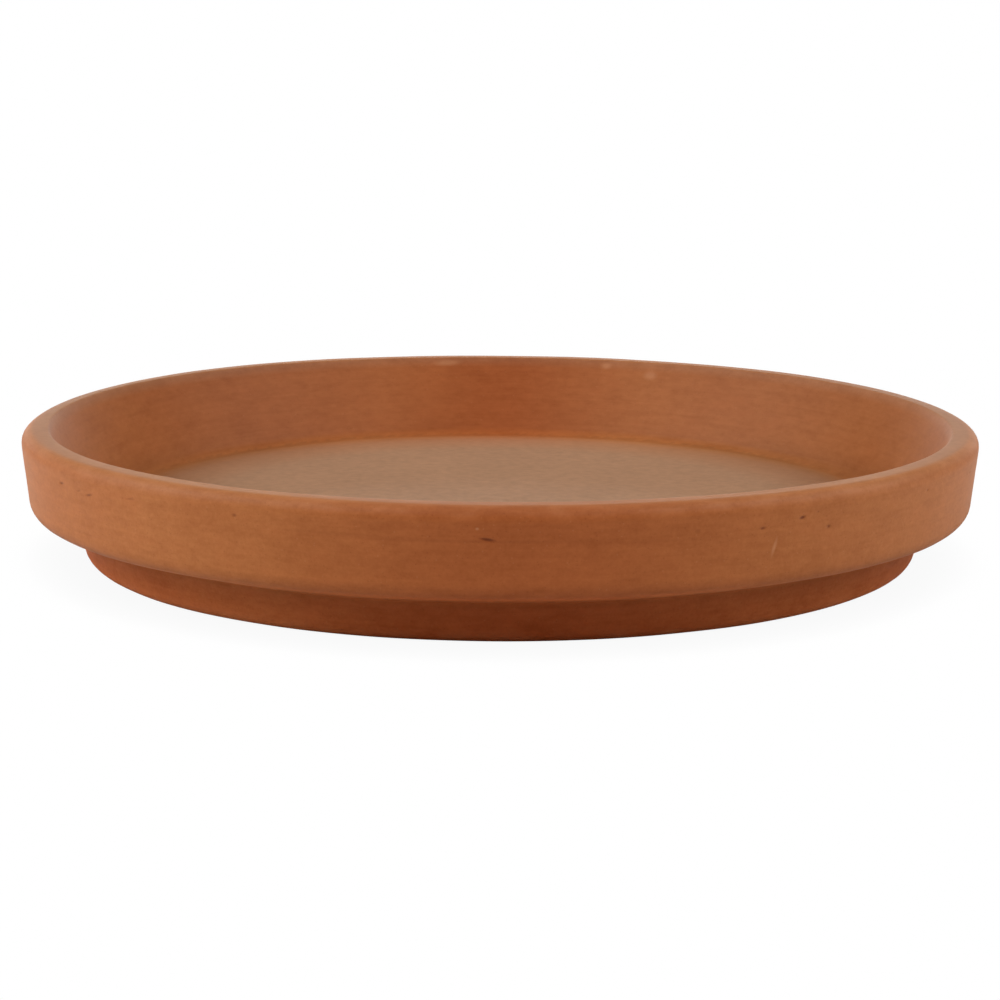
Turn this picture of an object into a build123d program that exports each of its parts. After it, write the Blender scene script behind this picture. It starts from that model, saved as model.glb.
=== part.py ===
from build123d import *
import math
import os

# A shallow round saucer of plain fired clay: a wide lip, a heavy collar hanging outside it,
# a smaller foot under the collar, and a sloping inner wall that runs down to a flat dish floor.
# It is formed and fired as one piece, so there is one solid, turned about the Z axis.
# The origin is the centre of the foot, on the ground, and +Z points up out of the dish.

# Driving dimensions, in millimetres and degrees
lip_diameter = 310.0  # across the lip's outer corner, as it would be before rounding
overall_height = 42.0
lip_width = 9.0  # top of the wall, from its outer corner to its inner one

collar_height = 25.4  # from the lip down to the collar's lower corner
collar_taper = 6.2  # the collar leans in as it goes down
collar_overhang = 15.0  # how far the collar stands out past the top of the foot
collar_underside_slope = 16.6  # its underside falls towards the foot

foot_taper = 11.0  # the foot's side leans in as it goes down
foot_ring_width = 18.0  # from the foot's outer corner to the recess under the dish
recess_depth = 3.0
recess_edge_slope = 45.0

floor_thickness = 11.0
inner_wall_lean = 30.0  # from the vertical, opening upwards

# Corner roundings
lip_outer_rounding = 3.8
lip_inner_rounding = 1.0
collar_rounding = 4.6
notch_rounding = 1.6
foot_rounding = 4.6
recess_rounding = 1.5
cove_radius = 6.0  # where the inner wall runs onto the floor


def run(rise, angle):
    """The sideways distance that a line leaning by this angle covers over this rise."""
    return rise * math.tan(math.radians(angle))


# Heights above the ground
collar_bottom = overall_height - collar_height
notch_height = collar_bottom - run(collar_overhang, collar_underside_slope)
floor_height = recess_depth + floor_thickness

# Radii from the axis
lip_radius = lip_diameter / 2
lip_inner_radius = lip_radius - lip_width
collar_bottom_radius = lip_radius - run(collar_height, collar_taper)
notch_radius = collar_bottom_radius - collar_overhang
foot_radius = notch_radius - run(notch_height, foot_taper)
recess_radius = foot_radius - foot_ring_width
recess_top_radius = recess_radius - run(recess_depth, recess_edge_slope)
floor_radius = lip_inner_radius - run(overall_height - floor_height, inner_wall_lean)

# The half section, anticlockwise from the underside of the floor: radius, height, rounding
half_section = [
    (0.0, recess_depth, 0.0),
    (recess_top_radius, recess_depth, recess_rounding),
    (recess_radius, 0.0, recess_rounding),
    (foot_radius, 0.0, foot_rounding),
    (notch_radius, notch_height, notch_rounding),
    (collar_bottom_radius, collar_bottom, collar_rounding),
    (lip_radius, overall_height, lip_outer_rounding),
    (lip_inner_radius, overall_height, lip_inner_rounding),
    (floor_radius, floor_height, cove_radius),
    (0.0, floor_height, 0.0),
]


def rounded_face(corners):
    """The face inside an outline in the XZ plane, with each corner rounded as stated."""
    outline = Polyline(*[(radius, 0, height) for radius, height, _ in corners], close=True)
    face = make_face(outline).face()
    for radius, height, rounding in corners:
        if rounding > 0:
            corner = face.vertices().sort_by_distance((radius, 0, height))[0]
            face = face.fillet_2d(rounding, [corner])
    return face


def make_saucer():
    """The whole saucer, its half section turned once round the Z axis."""
    return revolve(rounded_face(half_section), Axis.Z)


saucer = make_saucer()
saucer.label = "saucer"

os.makedirs("parts", exist_ok=True)
export_step(saucer, "parts/saucer.step")
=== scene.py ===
import math

import bmesh
import bpy
import numpy as np
from mathutils import Matrix, Vector, noise


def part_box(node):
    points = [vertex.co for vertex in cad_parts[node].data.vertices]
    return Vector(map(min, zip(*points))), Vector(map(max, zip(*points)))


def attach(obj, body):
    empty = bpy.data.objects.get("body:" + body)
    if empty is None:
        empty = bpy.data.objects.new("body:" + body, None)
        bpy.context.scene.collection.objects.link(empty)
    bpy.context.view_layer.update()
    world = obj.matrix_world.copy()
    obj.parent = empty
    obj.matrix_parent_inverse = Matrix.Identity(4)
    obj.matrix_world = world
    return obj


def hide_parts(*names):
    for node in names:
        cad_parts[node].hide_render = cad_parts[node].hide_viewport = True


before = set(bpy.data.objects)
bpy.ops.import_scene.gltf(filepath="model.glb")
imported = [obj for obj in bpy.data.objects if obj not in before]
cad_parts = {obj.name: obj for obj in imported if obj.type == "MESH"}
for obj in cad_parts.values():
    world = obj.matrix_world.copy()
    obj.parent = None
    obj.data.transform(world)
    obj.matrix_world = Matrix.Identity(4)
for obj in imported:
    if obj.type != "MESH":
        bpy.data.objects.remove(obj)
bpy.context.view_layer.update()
MM = 0.001
rng = np.random.default_rng(31)

# ---------------------------------------------------------------- the saucer's half section
# The same section as the CAD part: its height and its widest radius come from the frame, and
# the rest are the part's own dimensions, in metres and degrees.
saucer_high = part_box("saucer")[1]
overall_height = saucer_high.z
widest_radius = saucer_high.x

lip_width = 9.0 * MM
collar_height = 25.4 * MM
collar_taper = 6.2
collar_overhang = 15.0 * MM
collar_underside_slope = 16.6
foot_taper = 11.0
foot_ring_width = 18.0 * MM
recess_depth = 3.0 * MM
recess_edge_slope = 45.0
floor_thickness = 11.0 * MM
inner_wall_lean = 30.0

lip_outer_rounding = 3.8 * MM
lip_inner_rounding = 1.0 * MM
collar_rounding = 4.6 * MM
notch_rounding = 1.6 * MM
foot_rounding = 4.6 * MM
recess_rounding = 1.5 * MM
cove_radius = 6.0 * MM


def run(rise, angle):
    """The sideways distance that a line leaning by this angle covers over this rise."""
    return rise * math.tan(math.radians(angle))


def corner_outside(widest, rounding, lean):
    """Radius of a sharp corner whose rounding, between a flat top and a leaning side, is this wide."""
    angle = math.radians(lean)
    return widest - rounding * (1 - (1 + math.sin(angle)) / math.cos(angle))


collar_bottom = overall_height - collar_height
notch_height = collar_bottom - run(collar_overhang, collar_underside_slope)
floor_height = recess_depth + floor_thickness
lip_radius = corner_outside(widest_radius, lip_outer_rounding, collar_taper)
lip_inner_radius = lip_radius - lip_width
collar_bottom_radius = lip_radius - run(collar_height, collar_taper)
notch_radius = collar_bottom_radius - collar_overhang
foot_radius = notch_radius - run(notch_height, foot_taper)
recess_radius = foot_radius - foot_ring_width
recess_top_radius = recess_radius - run(recess_depth, recess_edge_slope)
floor_radius = lip_inner_radius - run(overall_height - floor_height, inner_wall_lean)

# Each corner: name, radius, height, rounding, and how far apart the rings are up to the next one
CORNERS = [
    ("underside", 0.0, recess_depth, 0.0, 5.0 * MM),
    ("recess", recess_top_radius, recess_depth, recess_rounding, 1.5 * MM),
    ("ring", recess_radius, 0.0, recess_rounding, 2.2 * MM),
    ("foot", foot_radius, 0.0, foot_rounding, 1.4 * MM),
    ("notch", notch_radius, notch_height, notch_rounding, 1.5 * MM),
    ("collar", collar_bottom_radius, collar_bottom, collar_rounding, 0.72 * MM),
    ("lip_outer", lip_radius, overall_height, lip_outer_rounding, 0.7 * MM),
    ("lip_inner", lip_inner_radius, overall_height, lip_inner_rounding, 1.2 * MM),
    ("cove", floor_radius, floor_height, cove_radius, 2.5 * MM),
    ("dish", 0.0, floor_height, 0.0, 0.0),
]
LONGEST_ARC_STEP = 1.0 * MM
SHORTEST_ARC_STEPS = 5


def rounded_corner(before, corner, after, rounding):
    """Points of the arc that touches both lines through a corner."""
    to_before = (before - corner) / np.linalg.norm(before - corner)
    to_after = (after - corner) / np.linalg.norm(after - corner)
    half_angle = math.acos(np.clip(to_before @ to_after, -1, 1)) / 2
    bisector = (to_before + to_after) / np.linalg.norm(to_before + to_after)
    centre = corner + bisector * rounding / math.sin(half_angle)
    reach = rounding / math.tan(half_angle)
    first, last = corner + to_before * reach - centre, corner + to_after * reach - centre
    turn = math.pi - 2 * half_angle
    steps = max(SHORTEST_ARC_STEPS, math.ceil(turn * rounding / LONGEST_ARC_STEP))
    shares = np.linspace(0, 1, steps + 1)
    weights_first = np.sin((1 - shares) * turn) / math.sin(turn)
    weights_last = np.sin(shares * turn) / math.sin(turn)
    return centre + np.outer(weights_first, first) + np.outer(weights_last, last)


def half_section():
    """The outline's points from the underside's centre to the dish's, and each corner's middle point."""
    places = [np.array(corner[1:3]) for corner in CORNERS]
    points, middles = [places[0]], {CORNERS[0][0]: 0}
    for i in range(1, len(CORNERS)):
        name, _, _, rounding, _ = CORNERS[i]
        spacing = CORNERS[i - 1][4]
        arc = [places[i]]
        if rounding > 0:
            arc = rounded_corner(places[i - 1], places[i], places[i + 1], rounding)
        straight = arc[0] - points[-1]
        steps = max(1, round(float(np.linalg.norm(straight)) / spacing))
        points += [points[-1] + straight * k / steps for k in range(1, steps)]
        middles[name] = len(points) + len(arc) // 2
        points += list(arc)
    return np.array(points), middles


section, corner_index = half_section()
section_along = np.concatenate([[0], np.cumsum(np.linalg.norm(np.diff(section, axis=0), axis=1))])
ROWS_AT_ONCE = 4096


def along_at(corner, past):
    """A place along the section, this many millimetres past the middle of a corner."""
    return section_along[corner_index[corner]] + past * MM


def along_of(radii, heights):
    """How far along the section each of these points is, from the nearest point of the outline."""
    start, step = section[:-1], np.diff(section, axis=0)
    length_squared = (step**2).sum(1)
    found = np.empty(len(radii))
    for i in range(0, len(radii), ROWS_AT_ONCE):
        rows = slice(i, i + ROWS_AT_ONCE)
        point = np.stack([radii[rows], heights[rows]], 1)[:, None, :]
        share = np.clip((((point - start) * step).sum(2)) / length_squared, 0, 1)
        distance = ((start + share[..., None] * step - point) ** 2).sum(2)
        best = distance.argmin(1)
        chosen = np.arange(len(best))
        found[rows] = section_along[best] + share[chosen, best] * np.sqrt(length_squared[best])
    return found


# ---------------------------------------------------------------- the turned mesh
SEGMENTS, FEWEST_SEGMENTS = 512, 16
FULL_RADIUS = 96 * MM  # inside this radius the rings have fewer and fewer points


def ring_segments(radius):
    """Points in a ring, halved each time the radius halves, so that faces keep an even shape."""
    count, limit = SEGMENTS, FULL_RADIUS
    while radius < limit and count > FEWEST_SEGMENTS:
        count, limit = count // 2, limit / 2
    return count


def bridge(inner, outer):
    """Faces between two rings of point numbers, of which one may have twice as many as the other."""
    if len(inner) > len(outer):
        return [face[::-1] for face in bridge(outer, inner)]
    n = len(inner)
    if n == len(outer):
        return [(inner[j], inner[(j + 1) % n], outer[(j + 1) % n], outer[j]) for j in range(n)]
    faces = []
    for j in range(n):
        here, there = inner[j], inner[(j + 1) % n]
        left, middle, right = (outer[(2 * j + k) % (2 * n)] for k in range(3))
        faces += [(here, middle, left), (here, there, middle), (there, right, middle)]
    return faces


def turned_mesh(name):
    """The half section turned about the Z axis as a closed mesh."""
    points, rings = [], []
    for radius, height in section:
        count = ring_segments(radius) if radius > 0 else 1
        angles = np.arange(count) * 2 * math.pi / count
        rings.append(list(range(len(points), len(points) + count)))
        points += [(radius * math.cos(a), radius * math.sin(a), height) for a in angles]
    faces = []
    for inner, outer in zip(rings[1:-2], rings[2:-1]):
        faces += bridge(inner, outer)
    for centre, ring in ((rings[0][0], rings[1]), (rings[-1][0], rings[-2])):
        faces += [(centre, ring[j - 1], ring[j]) for j in range(len(ring))]
    mesh = bpy.data.meshes.new(name)
    mesh.from_pydata(points, [], faces)
    return mesh


# ---------------------------------------------------------------- marks in the clay
# Each mark: bearing from the front, in degrees to the right; the corner of the section that it is
# measured from; how far past that corner it is, its length, its breadth and its depth, in
# millimetres; and how far its length is turned up from the level, in degrees.
PITS = [
    (-56.3, "lip_outer", -6.5, 3.6, 0.9, 0.20, 8),
    (-52.0, "lip_outer", -7.0, 3.4, 0.6, 0.10, 12),
    (-49.8, "lip_outer", -7.3, 4.2, 0.9, 0.18, 10),
    (-42.0, "lip_outer", -5.4, 5.0, 1.0, 0.09, 6),
    (-27.7, "lip_outer", -5.4, 1.8, 1.3, 0.15, 0),
    (-1.2, "lip_outer", -8.2, 4.4, 1.0, 0.30, -9),
    (20.3, "lip_outer", -7.4, 2.6, 1.8, 0.07, 0),
    (27.9, "lip_outer", -8.2, 2.2, 1.0, 0.18, 0),
    (32.9, "lip_outer", -6.4, 2.4, 1.2, 0.25, 8),
    (35.0, "lip_outer", -5.3, 1.0, 0.8, 0.14, 0),
    (36.7, "lip_outer", -10.1, 1.5, 1.3, 0.18, 0),
    (54.3, "lip_outer", -5.8, 1.5, 0.9, 0.15, 0),
    (69.3, "lip_outer", -6.9, 1.1, 0.9, 0.15, 0),
]
CHIPS = [
    (-171.9, "lip_inner", 2.0, 12.0, 3.0, 0.10, 3),
    (163.6, "lip_inner", 2.2, 4.6, 3.2, 0.12, 0),
    (156.4, "lip_inner", 5.2, 6.0, 4.2, 0.12, 0),
    (-2.2, "lip_outer", -5.2, 1.2, 1.0, 0.06, 0),
    (29.5, "lip_outer", -14.0, 6.4, 1.3, 0.03, 75),
]
SCORES = [
    (-2.0, "lip_outer", -8.7, 150.0, 1.0, 0.0, -0.7),
]
# How many more there are in places of their own, how short and how long they are, in millimetres,
# and their depth as a share of their length
SCATTERED_PITS = (34, 0.7, 1.6, 0.11)
SCATTERED_CHIPS = (14, 0.9, 3.0, 0.03)
NARROWEST, MOST_TURNED = 0.5, 20  # their least breadth, as a share of their length, and their turn
# Where they may lie: a corner, how far past it the band begins and ends, in millimetres, and the
# bearings between which it runs. The front outside and the back inside have the marks above only.
MARKED_BANDS = [
    ("lip_outer", -19.0, -4.0, 80, 280),
    ("lip_inner", 4.0, 28.0, -75, 75),
    ("notch", -8.0, -2.0, 80, 280),
    ("cove", 14.0, 100.0, -80, 80),
    ("recess", -70.0, -6.0, 0, 360),
]
MARK_FALLOFF = 1.6  # the higher, the faster a mark fades out past its own length and breadth
FULLY_SHADED_PIT_DEPTH = 0.18 * MM  # pits this deep or deeper get the darkest painted shade
# The mesh is made finer out to this many times a mark's half length, and this much further
REFINED_REACH, REFINED_MARGIN = 1.7, 0.8 * MM
REFINED_CUTS = 3


def scattered(count, shortest, longest, steepness):
    """Small marks in places of their own."""
    found = []
    for _ in range(count):
        corner, near, far, first, last = MARKED_BANDS[rng.integers(len(MARKED_BANDS))]
        length = rng.uniform(shortest, longest)
        breadth = length * rng.uniform(NARROWEST, 1.0)
        bearing, past = rng.uniform(first, last), rng.uniform(near, far)
        turn = rng.uniform(-MOST_TURNED, MOST_TURNED)
        found.append((bearing, corner, past, length, breadth, length * steepness, turn))
    return found


def mark_centre(mark):
    """A mark's place on the turned surface, its bearing in radians and its place along the section."""
    bearing, corner, past = mark[:3]
    along = along_at(corner, past)
    radius = float(np.interp(along, section_along, section[:, 0]))
    height = float(np.interp(along, section_along, section[:, 1]))
    angle = math.radians(bearing)
    return Vector((radius * math.sin(angle), -radius * math.cos(angle), height)), angle, along


def refine_near(mesh, marks):
    """Cuts the faces round each mark finely enough to hold its shape."""
    bm = bmesh.new()
    bm.from_mesh(mesh)
    bmesh.ops.recalc_face_normals(bm, faces=bm.faces)
    for mark in marks:
        centre = mark_centre(mark)[0]
        reach = REFINED_REACH * mark[3] / 2 * MM + REFINED_MARGIN
        near = [v for v in bm.verts if (v.co - centre).length < reach]
        edges = {e for v in near for e in v.link_edges}
        bmesh.ops.subdivide_edges(bm, edges=list(edges), cuts=REFINED_CUTS, use_grid_fill=True)
    bm.to_mesh(mesh)
    bm.free()


class Surface:
    """The mesh's points, and each one's radius, bearing from the front and place along the section."""

    def __init__(self, mesh):
        flat = np.empty(len(mesh.vertices) * 3)
        mesh.vertices.foreach_get("co", flat)
        self.place = flat.reshape(-1, 3)
        self.radii = np.hypot(self.place[:, 0], self.place[:, 1])
        self.bearings = np.arctan2(self.place[:, 0], -self.place[:, 1])
        self.alongs = along_of(self.radii, self.place[:, 2])

    def angles_from(self, angle):
        """Each point's bearing measured from this one, the short way round."""
        return (self.bearings - angle + math.pi) % (2 * math.pi) - math.pi

    def stepped(self, stops):
        """A value for each point, from stops: a corner, millimetres past it, and the value there."""
        places = [along_at(corner, past) for corner, past, _ in stops]
        return np.interp(self.alongs, places, [value for _, _, value in stops])

    def hump(self, corner, breadth):
        """One in the middle of a corner, and less the further from it a point lies along the section."""
        return np.exp(-(((self.alongs - along_at(corner, 0)) / breadth) ** 2))

    def past(self, corner, millimetres=0):
        """Whether each point lies further along the section than this."""
        return self.alongs > along_at(corner, millimetres)


def mark_strength(marks, surface):
    """How strong the marks are at each point, from 0 to 1, and how far they press it in, in metres."""
    count = len(surface.bearings)
    strength, pressed = np.zeros(count), np.zeros(count)
    for mark in marks:
        _, angle, along = mark_centre(mark)
        length, breadth, depth, turn = mark[3:]
        lean = math.radians(turn)
        sideways = surface.angles_from(angle) * surface.radii
        upward = surface.alongs - along
        lengthwise = (sideways * math.cos(lean) + upward * math.sin(lean)) / (length / 2 * MM)
        crosswise = (upward * math.cos(lean) - sideways * math.sin(lean)) / (breadth / 2 * MM)
        here = np.exp(-MARK_FALLOFF * (lengthwise**2 + crosswise**2))
        strength = np.maximum(strength, here)
        pressed = np.maximum(pressed, depth * MM * here)
    return strength, pressed


# ---------------------------------------------------------------- relief of the clay
# Slow unevenness round the saucer: how many times it repeats, its size and its phase in radians.
RIM_SWELL = [(1, 0.40 * MM, 2.5), (2, 0.24 * MM, 1.5), (3, 0.54 * MM, 0.9)]
FOOT_SWELL = [(1, 0.24 * MM, 0.5), (2, 0.61 * MM, 0.1), (3, 0.66 * MM, 2.7)]
RIM_WARP = [(1, 0.32 * MM, 2.0), (2, 0.10 * MM, 0.1), (3, 0.15 * MM, 0.3)]
STEADY_RADIUS = 20 * MM  # inside this radius the unevenness dies away to nothing
WAVE_DEPTH, WAVE_LENGTH = 0.10 * MM, 28 * MM
TURNING_DEPTH, TURNING_PITCH, TURNING_LENGTH = 0.035 * MM, 1.9 * MM, 70 * MM
BROAD_RING_DEPTH, BROAD_RING_PITCH, BROAD_RING_LENGTH = 0.05 * MM, 7.0 * MM, 280 * MM
BROAD_RING_OFFSET = 9.0  # where in the noise the broad rings are taken from
# Where the lip's outer corner is rubbed down: bearing, how far it spreads, in degrees, and depth
LIP_RUBS = [(-100, 26, 1.0 * MM), (98, 20, 0.6 * MM)]
LIP_RUB_BREADTH = 3.5 * MM
# The foot's side, the collar and the walls keep their fine rings, and the flat faces hardly any
FLAT_RINGS = 0.15
SIDE_STOPS = [("ring", 0, FLAT_RINGS), ("foot", 0, 1), ("cove", 0, 1), ("cove", 20, FLAT_RINGS)]


def noise_field(points):
    """Smooth noise between about -1 and 1 at each of these points."""
    return np.array([noise.noise(Vector(p)) for p in points])


def uneven(bearings, terms):
    """The sum of slow waves round the saucer."""
    return sum(size * np.cos(times * bearings + phase) for times, size, phase in terms)


def lip_rub(surface):
    """How far the lip's outer corner is rubbed in at each point."""
    across = surface.hump("lip_outer", LIP_RUB_BREADTH)
    rubbed = np.zeros(len(across))
    for bearing, spread, depth in LIP_RUBS:
        sideways = surface.angles_from(math.radians(bearing))
        rubbed += depth * np.exp(-((sideways / math.radians(spread)) ** 2)) * across
    return rubbed


def turning_lines(surface):
    """Faint rings that a turned former leaves: fine ones, mostly on the sides, and broad ones."""
    flat_place, alongs = surface.place[:, :2], surface.alongs
    fine = np.column_stack([flat_place / TURNING_LENGTH, alongs / TURNING_PITCH])
    broad = np.column_stack([flat_place / BROAD_RING_LENGTH, alongs / BROAD_RING_PITCH])
    fine_rings = TURNING_DEPTH * surface.stepped(SIDE_STOPS) * noise_field(fine)
    return fine_rings + BROAD_RING_DEPTH * noise_field(broad + BROAD_RING_OFFSET)


def outward_directions(alongs):
    """The surface's outward direction at each point, as a radius part and a height part."""
    tangent = np.gradient(section, section_along, axis=0)
    tangent_radius = np.interp(alongs, section_along, tangent[:, 0])
    tangent_height = np.interp(alongs, section_along, tangent[:, 1])
    length = np.hypot(tangent_radius, tangent_height)
    return tangent_height / length, -tangent_radius / length


def relieve(mesh, surface, pressed):
    """Moves the turned points off the perfect section, as forming, turning and handling leave them."""
    outward = WAVE_DEPTH * noise_field(surface.place / WAVE_LENGTH) + turning_lines(surface)
    outward -= pressed + lip_rub(surface)

    place, radii, bearings = surface.place.copy(), surface.radii, surface.bearings
    lift = place[:, 2] / overall_height
    out_radius, out_height = outward_directions(surface.alongs)
    moved = outward * out_radius + lift * uneven(bearings, RIM_SWELL)
    moved += (1 - lift) * uneven(bearings, FOOT_SWELL)
    steady = np.clip(radii / STEADY_RADIUS, 0, 1)
    smallest = np.finfo(float).tiny  # keeps the middle point from being divided by a radius of zero
    scale = (radii + moved * steady) / np.maximum(radii, smallest)
    place[:, :2] *= scale[:, None]
    raised = outward * out_height + lift * uneven(bearings, RIM_WARP)
    place[:, 2] = np.maximum(place[:, 2] + raised, 0)
    mesh.vertices.foreach_set("co", place.ravel())


# ---------------------------------------------------------------- dust and painted sheen, painted shade, and bloom with painted light
# How thickly pale dust, which also paints a grazing sheen, lies on the lip and the dish floor; it thins
# towards the cove, which paints the wall's shade on the floor
DUST_AND_PAINTED_SHEEN_STOPS = [
    ("lip_outer", -2.0, 0.0),
    ("lip_outer", 1.0, 0.15),
    ("lip_outer", 3.0, 0.38),
    ("lip_inner", -1.0, 0.42),
    ("lip_inner", 4.0, 0.0),
    ("cove", 1.0, 0.0),
    ("cove", 10.0, 0.6),
    ("cove", 32.0, 1.0),
]
LIP_DUST_AND_PAINTED_SHEEN_AT_SIDES = 0.55  # how much more of it there is at the lip's two sides
# Where the dish's inner wall is, and where the foot and the collar's underside are
INSIDE_STOPS = [("lip_inner", 0, 0), ("lip_inner", 4, 1), ("cove", 2, 1), ("cove", 6, 0)]
FOOT_STOPS = [("collar", -3, 1), ("collar", 3, 0)]
# Painted shade under the collar, thinning out up its lower corner
UNDER_COLLAR_SHADE_STOPS = [("notch", -2, 0), ("notch", 2, 0.75), ("collar", 0, 0.60), ("collar", 3.5, 0)]
# Painted shade along a corner: how far it spreads and how dark it is in the middle
SHADED_CORNERS = [("cove", 6.0 * MM, 0.50), ("notch", 5.5 * MM, 0.58)]
SIDE_SHADE_SPREAD = 25 * MM  # how far it spreads over the dish floor from the cove's two sides
WALL_SIDE_SHADE, WALL_SIDE_SHADE_TILT = 0.42, 0.14  # on the inner wall's two sides, and how uneven they are
STEADY_WALL_SHADE = 0.2  # the share of the inner wall's painted shade that goes all the way round
LIP_SIDE_SHADE, LIP_SIDE_SHADE_START = 0.26, 2  # on the lip's two sides, from this many millimetres in
# The bloom outside, which also paints the light that falls on the sides and leaves the front darker: its
# gap at the front, where round the saucer it thins and by how much, its thickest place, and how thick it
# is on the whole, there and underneath
BLOOM_AND_LIGHT_GAP_MIDDLE, BLOOM_AND_LIGHT_GAP = math.radians(3), math.radians(25)
BLOOM_AND_LIGHT_THIN_START, BLOOM_AND_LIGHT_THIN_WIDTH, BLOOM_AND_LIGHT_THINNED = math.radians(45), math.radians(25), 0.4
BLOOM_AND_LIGHT_THICKEST, BLOOM_AND_LIGHT_THICK_WIDTH = math.radians(-30), math.radians(14)
BLOOM_AND_LIGHT_OUTSIDE, BLOOM_AND_LIGHT_EXTRA, BLOOM_AND_LIGHT_UNDERNEATH = 0.8, 0.25, 0.5
# The bloom inside, which also paints the light on the inner wall: its gap at the back, its thickest
# place, and how thick it is on the whole and there
BLOOM_AND_LIGHT_GAP_INSIDE = math.radians(12)
BLOOM_AND_LIGHT_THICKEST_INSIDE, BLOOM_AND_LIGHT_THICK_WIDTH_INSIDE = math.radians(145), math.radians(30)
BLOOM_AND_LIGHT_INSIDE, BLOOM_AND_LIGHT_EXTRA_INSIDE = 0.45, 0.35
RUBBED_CORNERS, RUBBED_BREADTH = ("foot", "lip_outer", "lip_inner"), 2.2 * MM


def dust_and_painted_sheen_amount(surface):
    """Pale dust, which also paints a grazing sheen, lies on the dish floor and, more thinly, on the lip,
    mostly at its two sides.
    """
    dust_and_painted_sheen = surface.stepped(DUST_AND_PAINTED_SHEEN_STOPS)
    at_sides = 1 + LIP_DUST_AND_PAINTED_SHEEN_AT_SIDES * np.sin(surface.bearings) ** 2
    return np.where(surface.past("cove"), dust_and_painted_sheen, dust_and_painted_sheen * at_sides)


def painted_shade_amount(surface):
    """Painted shade in the cove and the notch and under the collar, which spreads at the two sides."""
    sides = np.sin(surface.bearings) ** 2
    painted_shade = surface.stepped(UNDER_COLLAR_SHADE_STOPS)
    for corner, breadth, most in SHADED_CORNERS:
        painted_shade += most * surface.hump(corner, breadth)
    on_floor = painted_shade + sides * surface.hump("cove", SIDE_SHADE_SPREAD)
    wall_painted_shade = (WALL_SIDE_SHADE + WALL_SIDE_SHADE_TILT * np.sin(surface.bearings)) * sides
    on_wall = painted_shade * (STEADY_WALL_SHADE + (1 - STEADY_WALL_SHADE) * sides)
    on_wall += wall_painted_shade * surface.stepped(INSIDE_STOPS)
    on_lip = painted_shade + LIP_SIDE_SHADE * sides * surface.past("lip_outer", LIP_SIDE_SHADE_START)
    parts = [surface.past(corner) for corner in ("cove", "lip_inner", "collar")]
    return np.clip(np.select(parts, [on_floor, on_wall, on_lip], painted_shade), 0, 1)


def bloom_and_painted_light_amount(surface):
    """A faint pale bloom with painted light on the clay: paler where the lamps fall on the sides, with a
    darker gap at the front, and at the back on the inside.
    """
    bearings, round_to = surface.bearings, np.abs(surface.bearings)
    outside = 1 - np.exp(-(((bearings - BLOOM_AND_LIGHT_GAP_MIDDLE) / BLOOM_AND_LIGHT_GAP) ** 2))
    outside *= 1 - BLOOM_AND_LIGHT_THINNED * np.clip((round_to - BLOOM_AND_LIGHT_THIN_START) / BLOOM_AND_LIGHT_THIN_WIDTH, 0, 1)
    thickest = np.exp(-(((bearings - BLOOM_AND_LIGHT_THICKEST) / BLOOM_AND_LIGHT_THICK_WIDTH) ** 2))
    outside = BLOOM_AND_LIGHT_OUTSIDE * outside + BLOOM_AND_LIGHT_EXTRA * thickest
    on_side = surface.stepped([("ring", 0, 0), ("foot", 0, 1)])
    outside = BLOOM_AND_LIGHT_UNDERNEATH + on_side * (outside - BLOOM_AND_LIGHT_UNDERNEATH)
    gap = np.exp(-(((math.pi - round_to) / BLOOM_AND_LIGHT_GAP_INSIDE) ** 2))
    thickest = np.exp(-(((bearings - BLOOM_AND_LIGHT_THICKEST_INSIDE) / BLOOM_AND_LIGHT_THICK_WIDTH_INSIDE) ** 2))
    inside = (1 - gap) * (BLOOM_AND_LIGHT_INSIDE + BLOOM_AND_LIGHT_EXTRA_INSIDE * thickest)
    return np.where(surface.alongs < along_at("lip_inner", 0), outside, inside)


def edge_amount(surface):
    """How near each point is to a corner that is knocked and rubbed in use."""
    return np.max([surface.hump(corner, RUBBED_BREADTH) for corner in RUBBED_CORNERS], axis=0)


def paint(mesh, name, values):
    """Stores one number per point, which the material reads."""
    layer = mesh.attributes.new(name, "FLOAT", "POINT")
    layer.data.foreach_set("value", values.astype(np.float32))


def paint_layers(mesh, surface, pit_pressed, chip_strength):
    """Everything that the material needs to know about each point."""
    paint(mesh, "along", surface.alongs)
    paint(mesh, "pit_shade", np.clip(pit_pressed / FULLY_SHADED_PIT_DEPTH, 0, 1))
    paint(mesh, "chip", chip_strength)
    paint(mesh, "score", mark_strength(SCORES, surface)[0])
    paint(mesh, "dust_and_painted_sheen", dust_and_painted_sheen_amount(surface))
    paint(mesh, "inside", surface.stepped(INSIDE_STOPS))
    paint(mesh, "side", surface.stepped(SIDE_STOPS))
    paint(mesh, "foot", surface.stepped(FOOT_STOPS))
    paint(mesh, "painted_shade", painted_shade_amount(surface))
    paint(mesh, "bloom_and_painted_light", bloom_and_painted_light_amount(surface))
    paint(mesh, "edge", edge_amount(surface))


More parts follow.
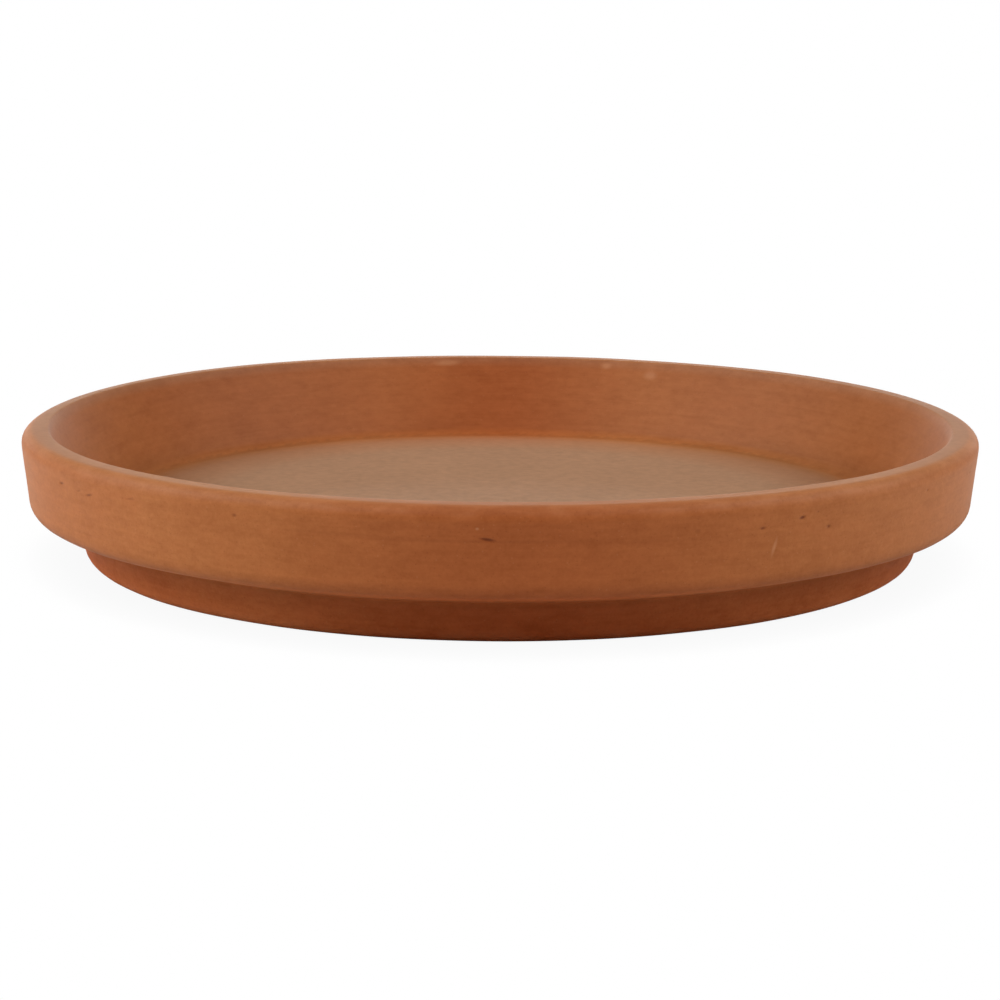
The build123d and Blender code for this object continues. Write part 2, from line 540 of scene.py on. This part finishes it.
# ---------------------------------------------------------------- the clay's material
class Shader:
    """Adds nodes to a material, taking each input as a number, a colour or another node's output."""

    def __init__(self, name):
        self.material = bpy.data.materials.new(name)
        self.material.use_nodes = True
        self.tree = self.material.node_tree
        self.tree.nodes.clear()

    def put(self, socket, value):
        """Sets a node's input, or links it to another node's output."""
        if isinstance(value, bpy.types.NodeSocket):
            self.tree.links.new(value, socket)
        else:
            socket.default_value = value

    def add(self, kind, inputs=None, **settings):
        node = self.tree.nodes.new(kind)
        for key, value in settings.items():
            setattr(node, key, value)
        for key, value in (inputs or {}).items():
            self.put(node.inputs[key], value)
        return node

    def attribute(self, name):
        return self.add("ShaderNodeAttribute", attribute_name=name).outputs["Fac"]

    def math(self, operation, *values):
        return self.add("ShaderNodeMath", dict(enumerate(values)), operation=operation).outputs[0]

    def noise(self, vector, size, detail=3.0, roughness=0.55):
        inputs = {"Vector": vector, "Scale": 1 / size, "Detail": detail, "Roughness": roughness}
        return self.add("ShaderNodeTexNoise", inputs).outputs["Fac"]

    def cells(self, vector, size):
        """How far each point is from the middle of its cell, as a share of the cells' size."""
        node = self.add("ShaderNodeTexVoronoi", {"Vector": vector, "Scale": 1 / size})
        return node.outputs["Distance"]

    def steps(self, value, low, high, to_low=0.0, to_high=1.0):
        """The value's range from low to high, spread over to_low to to_high and held there."""
        inputs = {0: value, 1: low, 2: high, 3: to_low, 4: to_high}
        return self.add("ShaderNodeMapRange", inputs, clamp=True).outputs[0]

    def blend(self, share, first, second, how="MIX"):
        """Two colours mixed, in sockets 6 and 7 of the mix node, which are its colour ones."""
        node = self.add("ShaderNodeMix", data_type="RGBA", blend_type=how, clamp_factor=True)
        for key, value in ((0, share), (6, first), (7, second)):
            self.put(node.inputs[key], value)
        return node.outputs[2]

    def stretched(self, position, along, stretch):
        """A vector for marks that run round the saucer, this many times longer than they are thick."""
        parts = self.add("ShaderNodeSeparateXYZ", {0: position})
        thin = self.math("MULTIPLY", along, stretch)
        inputs = {0: parts.outputs[0], 1: parts.outputs[1], 2: thin}
        return self.add("ShaderNodeCombineXYZ", inputs).outputs[0]


# Colours are linear. A spread is how far each part of a colour swings to both sides of its mean.
CLAY = (0.380, 0.0995, 0.025)
# the bloom's paler clay, which also paints the light on the lit sides
CLAY_BLOOMED_AND_LIT = (0.452, 0.157, 0.046)
CLAY_SPREAD = (0.23, 0.33, 0.46)
# pale dust, which also stands for a painted grazing sheen
DUST_AND_PAINTED_SHEEN = (0.332, 0.181, 0.105)
DUST_AND_PAINTED_SHEEN_SPREAD = (0.25, 0.25, 0.25)
CLAY_RED = (0.400, 0.098, 0.024, 1)
CLAY_PALE = (0.560, 0.250, 0.115, 1)
SHEEN_TINT = (1.0, 0.80, 0.40, 1)
# dark grit, the score, and the painted shade in the pits
DARK_MARK_AND_PIT_SHADE = (0.170, 0.036, 0.010, 1)
FOOT_SHADE = (1.20, 1.05, 1.12, 1)
# the colour that the painted shade multiplies by
PAINTED_SHADE_COLOUR = (0.66, 0.70, 0.75, 1)

# Sizes of the clay's noises and grit, and how many times longer than thick the drawn-out ones are
MOTTLE_SIZE = 55 * MM
BLOTCH_SIZE, BLOTCH_STRETCH = 10 * MM, 2.5
PATCH_SIZE, PATCH_STRETCH = 3.5 * MM, 2.0
STREAK_SIZE, STREAK_STRETCH = 50 * MM, 40
LINE_SIZE, LINE_STRETCH = 40 * MM, 60
GRAIN_SIZE = 1.0 * MM
DARK_GRIT_SIZE, PALE_GRIT_SIZE = 1.5 * MM, 2.3 * MM
DUST_DRIFT_SIZE, DUST_PATCH_SIZE = 24 * MM, 3 * MM
# How strongly each of them tells in the tone of the clay and of the dust
MOTTLE_WEIGHT, BLOTCH_WEIGHT, PATCH_WEIGHT, STREAK_WEIGHT = 0.35, 0.65, 0.50, 0.40
GRAIN_WEIGHT_OUTSIDE, GRAIN_WEIGHT_INSIDE = 0.60, 0.15
DUST_DRIFT_WEIGHT, DUST_PATCH_WEIGHT, DUST_GRAIN_WEIGHT = 0.25, 0.95, 0.30
# Relief too fine for the mesh
BUMP_DEPTH, BUMP_STRENGTH = 0.08 * MM, 0.4
GRAIN_RELIEF, LINE_RELIEF = 0.7, 0.4
# Bare clay shines a little, and the foot's clay by only this share of it
SHINE, FOOT_SHINE = 0.125, 0.2
CLAY_SHEEN, DUST_SHEEN = 0.09, 0.05


def toned(s, colour, spread, tone):
    """A colour, darker by these shares where the tone is 0 and lighter by them where it is 1."""
    dark = tuple(part * (1 - share) for part, share in zip(colour, spread)) + (1,)
    light = tuple(part * (1 + share) for part, share in zip(colour, spread)) + (1,)
    return s.blend(tone, dark, light)


def mixed_tone(s, *parts):
    """A tone about one half, from noises that each have their own weight."""
    tone = 0.5
    for noise_value, weight in parts:
        swing = s.math("MULTIPLY", s.math("SUBTRACT", noise_value, 0.5), weight)
        tone = s.math("ADD", swing, tone)
    return tone


def clay_colour(s, position, along, grain):
    """Fired clay: slow mottling, faint streaks round it, grain, specks of pale and dark grit, and a
    bloom that also paints the side light.
    """
    mottle = s.noise(position, MOTTLE_SIZE, 2.0)
    blotch = s.noise(s.stretched(position, along, BLOTCH_STRETCH), BLOTCH_SIZE)
    patch = s.noise(s.stretched(position, along, PATCH_STRETCH), PATCH_SIZE, 2.0)
    streak = s.noise(s.stretched(position, along, STREAK_STRETCH), STREAK_SIZE, 3.0, 0.6)
    streak_weight = s.math("MULTIPLY", s.attribute("side"), STREAK_WEIGHT)
    inside = s.attribute("inside")
    grain_weight = s.steps(inside, 0.0, 1.0, GRAIN_WEIGHT_OUTSIDE, GRAIN_WEIGHT_INSIDE)
    slow = [(mottle, MOTTLE_WEIGHT), (blotch, BLOTCH_WEIGHT), (patch, PATCH_WEIGHT)]
    tone = mixed_tone(s, *slow, (streak, streak_weight), (grain, grain_weight))
    # painted light: the bloom is paler on the sides where the lamps fall and leaves a darker gap at the
    # front
    bloom_and_painted_light = s.math("MULTIPLY", s.attribute("bloom_and_painted_light"), s.steps(mottle, 0.30, 0.60, 0.75, 1.0))
    plain, bloomed_and_lit = toned(s, CLAY, CLAY_SPREAD, tone), toned(s, CLAY_BLOOMED_AND_LIT, CLAY_SPREAD, tone)
    colour = s.blend(bloom_and_painted_light, plain, bloomed_and_lit)
    colour = s.blend(s.steps(blotch, 0.50, 0.75, 0.0, 0.18), colour, CLAY_RED)
    colour = s.blend(s.attribute("foot"), colour, FOOT_SHADE, "MULTIPLY")
    dark_grit, pale_grit = s.cells(position, DARK_GRIT_SIZE), s.cells(position, PALE_GRIT_SIZE)
    colour = s.blend(s.steps(dark_grit, 0.10, 0.17, 0.22, 0.0), colour, DARK_MARK_AND_PIT_SHADE)
    colour = s.blend(s.steps(pale_grit, 0.07, 0.13, 0.16, 0.0), colour, CLAY_PALE)
    rubbed = s.math("MULTIPLY", s.attribute("edge"), s.steps(blotch, 0.45, 0.65, 0.0, 0.18))
    return s.blend(rubbed, colour, CLAY_PALE)


def dust_and_painted_sheen_colour(s, position, grain):
    """The pale, evenly sandy dust, which also paints a grazing sheen."""
    drift = s.noise(position, DUST_DRIFT_SIZE, 2.0)
    patch = s.noise(position, DUST_PATCH_SIZE, 2.0)
    parts = [(drift, DUST_DRIFT_WEIGHT), (patch, DUST_PATCH_WEIGHT), (grain, DUST_GRAIN_WEIGHT)]
    return toned(s, DUST_AND_PAINTED_SHEEN, DUST_AND_PAINTED_SHEEN_SPREAD, mixed_tone(s, *parts))


def fine_relief(s, position, along, grain):
    """A bumped normal with the grain and the turning lines that are too fine for the mesh."""
    line = s.noise(s.stretched(position, along, LINE_STRETCH), LINE_SIZE, 2.0)
    line_weight = s.math("MULTIPLY", s.attribute("side"), LINE_RELIEF)
    lines = s.math("MULTIPLY", line, line_weight)
    relief = s.math("ADD", s.math("MULTIPLY", grain, GRAIN_RELIEF), lines)
    inputs = {"Height": relief, "Strength": BUMP_STRENGTH, "Distance": BUMP_DEPTH}
    return s.add("ShaderNodeBump", inputs).outputs[0]


def terracotta():
    """Unglazed fired clay with dust and painted sheen, painted shade, pits with painted shade, and pale
    chips.
    """
    s = Shader("terracotta")
    position = s.add("ShaderNodeTexCoord").outputs["Object"]
    along, dust_and_painted_sheen = s.attribute("along"), s.attribute("dust_and_painted_sheen")
    grain = s.noise(position, GRAIN_SIZE, 3.0, 0.7)

    # the pale dust layer also paints a grazing sheen on the lip and the dish floor
    colour = s.blend(dust_and_painted_sheen, clay_colour(s, position, along, grain), dust_and_painted_sheen_colour(s, position, grain))
    # painted shade in the cove, the notch, under the collar and on the inner wall's and lip's sides
    colour = s.blend(s.attribute("painted_shade"), colour, PAINTED_SHADE_COLOUR, "MULTIPLY")
    colour = s.blend(s.steps(s.attribute("chip"), 0.1, 0.8, 0.0, 0.50), colour, CLAY_PALE)
    colour = s.blend(s.steps(s.attribute("score"), 0.1, 1.0, 0.0, 0.22), colour, DARK_MARK_AND_PIT_SHADE)
    # painted shade in the pits, darker the deeper they are pressed
    colour = s.blend(s.steps(s.attribute("pit_shade"), 0.1, 1.0, 0.0, 0.85), colour, DARK_MARK_AND_PIT_SHADE)

    bare = s.steps(s.attribute("foot"), 0.0, 1.0, 1.0, FOOT_SHINE)
    inputs = {
        "Base Color": colour,
        "Roughness": 0.5,
        "Diffuse Roughness": 0.6,
        "IOR": 1.45,
        "Specular IOR Level": s.math("MULTIPLY", bare, SHINE),  # open pores leave little skin to shine
        "Sheen Weight": s.math("MULTIPLY", s.steps(dust_and_painted_sheen, 0.2, 0.6, CLAY_SHEEN, DUST_SHEEN), bare),
        "Sheen Roughness": 0.5,
        "Sheen Tint": SHEEN_TINT,
        "Normal": fine_relief(s, position, along, grain),
    }
    surface = s.add("ShaderNodeBsdfPrincipled", inputs)
    s.add("ShaderNodeOutputMaterial", {"Surface": surface.outputs[0]})
    return s.material


# ---------------------------------------------------------------- the saucer
def make_saucer():
    pits = PITS + scattered(*SCATTERED_PITS)
    chips = CHIPS + scattered(*SCATTERED_CHIPS)
    mesh = turned_mesh("terracotta_saucer")
    refine_near(mesh, pits + chips)
    surface = Surface(mesh)
    pit_pressed = mark_strength(pits, surface)[1]
    chip_strength, chip_pressed = mark_strength(chips, surface)
    relieve(mesh, surface, pit_pressed + chip_pressed)
    paint_layers(mesh, surface, pit_pressed, chip_strength)
    mesh.shade_smooth()
    mesh.materials.append(terracotta())
    piece = bpy.data.objects.new("terracotta_saucer", mesh)
    bpy.context.scene.collection.objects.link(piece)
    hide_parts("saucer")
    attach(piece, "root")


# ---------------------------------------------------------------- floor, light and camera
FLOOR_REACH, FLOOR_SIDES = 40.0, 64
FLOOR_BOUNCE = (0.80, 0.80, 0.80, 1)
CONTACT_SHADOW_REACH, CONTACT_SHADOW_DEPTH = 20 * MM, 0.08
SHADOW_SAMPLES, FULLY_OPEN = 8, 0.9
AMBIENT = 0.04
WHITE = (1, 1, 1, 1)


def pale_floor():
    """A wide floor, white to the camera but for a faint contact shadow, that throws light back up."""
    angles = np.arange(FLOOR_SIDES) * 2 * math.pi / FLOOR_SIDES
    points = [(FLOOR_REACH * math.cos(a), FLOOR_REACH * math.sin(a), 0) for a in angles]
    mesh = bpy.data.meshes.new("floor")
    mesh.from_pydata(points, [], [range(FLOOR_SIDES)])
    s = Shader("pale_floor")
    reach = {"Distance": CONTACT_SHADOW_REACH}
    openness = s.add("ShaderNodeAmbientOcclusion", reach, samples=SHADOW_SAMPLES)
    shade = s.steps(openness.outputs["AO"], 0.0, FULLY_OPEN, 1 - CONTACT_SHADOW_DEPTH, 1.0)
    white = s.add("ShaderNodeEmission", {"Color": WHITE, "Strength": shade})
    grey = s.add("ShaderNodeBsdfDiffuse", {"Color": FLOOR_BOUNCE})
    seen = s.add("ShaderNodeLightPath").outputs["Is Camera Ray"]
    both = s.add("ShaderNodeMixShader", {0: seen, 1: grey.outputs[0], 2: white.outputs[0]})
    s.add("ShaderNodeOutputMaterial", {"Surface": both.outputs[0]})
    mesh.materials.append(s.material)
    floor = bpy.data.objects.new("floor", mesh)
    bpy.context.scene.collection.objects.link(floor)


def studio_world():
    """A faint ambient light, and a plain white background for the camera."""
    world = bpy.data.worlds.new("studio")
    world.use_nodes = True
    tree = world.node_tree
    seen = tree.nodes.new("ShaderNodeLightPath").outputs["Is Camera Ray"]
    strength = tree.nodes.new("ShaderNodeMapRange")
    tree.links.new(seen, strength.inputs["Value"])
    strength.inputs["To Min"].default_value = AMBIENT
    strength.inputs["To Max"].default_value = 1.0
    background = tree.nodes["Background"]
    background.inputs["Color"].default_value = WHITE
    tree.links.new(strength.outputs[0], background.inputs["Strength"])
    bpy.context.scene.world = world


# Each softbox: name, where it stands, its width and height, and its power in watts
SOFTBOXES = [
    ("left", (-1.3, 0.0, 0.5), (1.2, 0.9), 9.4),
    ("right", (1.3, 0.0, 0.5), (1.2, 0.9), 6.1),
    ("left_high", (-1.1, 0.0, 1.1), (1.0, 0.8), 8.5),
    ("right_high", (1.1, 0.0, 1.1), (1.0, 0.8), 7.3),
    ("left_front_high", (-0.8, -0.8, 1.1), (1.0, 0.8), 9.2),
    ("right_front_high", (0.8, -0.8, 1.1), (1.0, 0.8), 6.2),
    ("back_low", (0.0, 1.5, 0.22), (2.6, 0.35), 6.0),
]
LIT_PLACE = Vector((0, 0, overall_height / 2))


def softbox(name, place, size, power):
    """A soft rectangular lamp that points at the saucer."""
    data = bpy.data.lights.new(name, "AREA")
    data.shape = "RECTANGLE"
    data.size, data.size_y = size
    data.energy = power
    lamp = bpy.data.objects.new(name, data)
    bpy.context.scene.collection.objects.link(lamp)
    lamp.location = place
    lamp.rotation_euler = (LIT_PLACE - Vector(place)).to_track_quat("-Z", "Y").to_euler()
    lamp.visible_camera = False


# The camera looks a little down at the saucer's front, from five lip radii away.
CAMERA_DISTANCE = 5 * lip_radius
CAMERA_ELEVATION, CAMERA_ROLL = 11.06, 0.34  # in degrees
AIM_HEIGHT = 14 * MM
LENS_LENGTH, SENSOR_WIDTH = 84.45, 36  # in millimetres
SIDE_SHIFT = 0.0003  # as a share of the sensor's width


def camera():
    """The camera, in front of the saucer and aimed at its axis."""
    data = bpy.data.cameras.new("camera")
    data.sensor_width = SENSOR_WIDTH
    data.lens = LENS_LENGTH
    data.shift_x = SIDE_SHIFT
    item = bpy.data.objects.new("camera", data)
    bpy.context.scene.collection.objects.link(item)
    elevation = math.radians(CAMERA_ELEVATION)
    back = Vector((0, -math.cos(elevation), math.sin(elevation)))
    turn = (-back).to_track_quat("-Z", "Y").to_matrix().to_4x4()
    roll = Matrix.Rotation(math.radians(CAMERA_ROLL), 4, "Z")
    place = Vector((0, 0, AIM_HEIGHT)) + back * CAMERA_DISTANCE
    item.matrix_world = Matrix.Translation(place) @ turn @ roll
    bpy.context.scene.camera = item


make_saucer()
pale_floor()
studio_world()
for box in SOFTBOXES:
    softbox(*box)
camera()
bpy.context.scene.view_settings.view_transform = "Standard"
